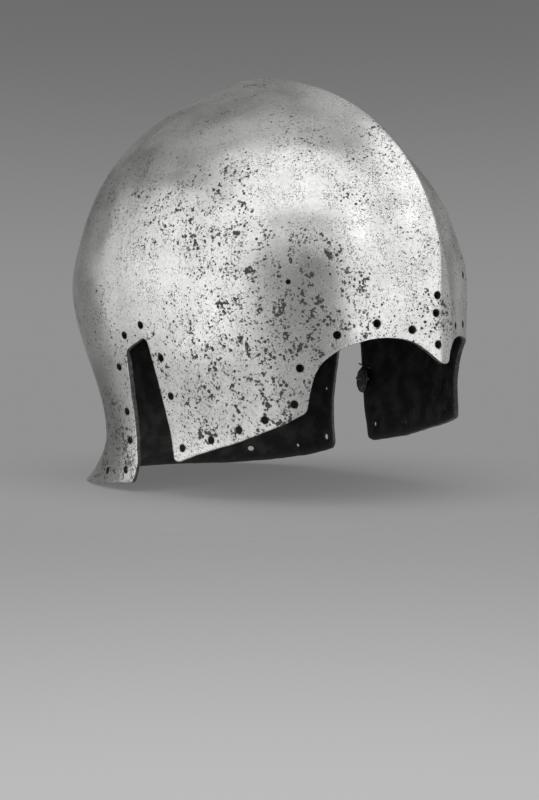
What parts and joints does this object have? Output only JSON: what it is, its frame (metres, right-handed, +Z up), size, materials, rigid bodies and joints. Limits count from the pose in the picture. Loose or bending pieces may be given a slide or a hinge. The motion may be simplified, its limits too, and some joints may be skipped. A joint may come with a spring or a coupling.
{
  "type": "sallet helmet",
  "caption": "Open-faced steel helmet with a crown keel, two eye arches meeting in a short nasal, a cheek and slot on each side and a flared neck guard.",
  "frame": {"origin": "the head seat: inside of the crown, on the upright axis through the top of the bowl", "axes": "+X to the wearer's left, -Y to the wearer's front, +Z up as the helmet is worn"},
  "size_m": [0.205, 0.265, 0.2521],
  "materials": {
    "skull_steel": "polished steel with dark pits and patina",
    "strap_leather": "old hardened leather",
    "strap_iron": "dark corroded iron"
  },
  "bodies": {
    "root": {"skull": "skull_steel", "strap_leather": "strap_leather", "strap_washer": "strap_iron", "strap_rivet": "strap_iron", "lining_wire": "strap_iron"}
  },
  "joints": []
}
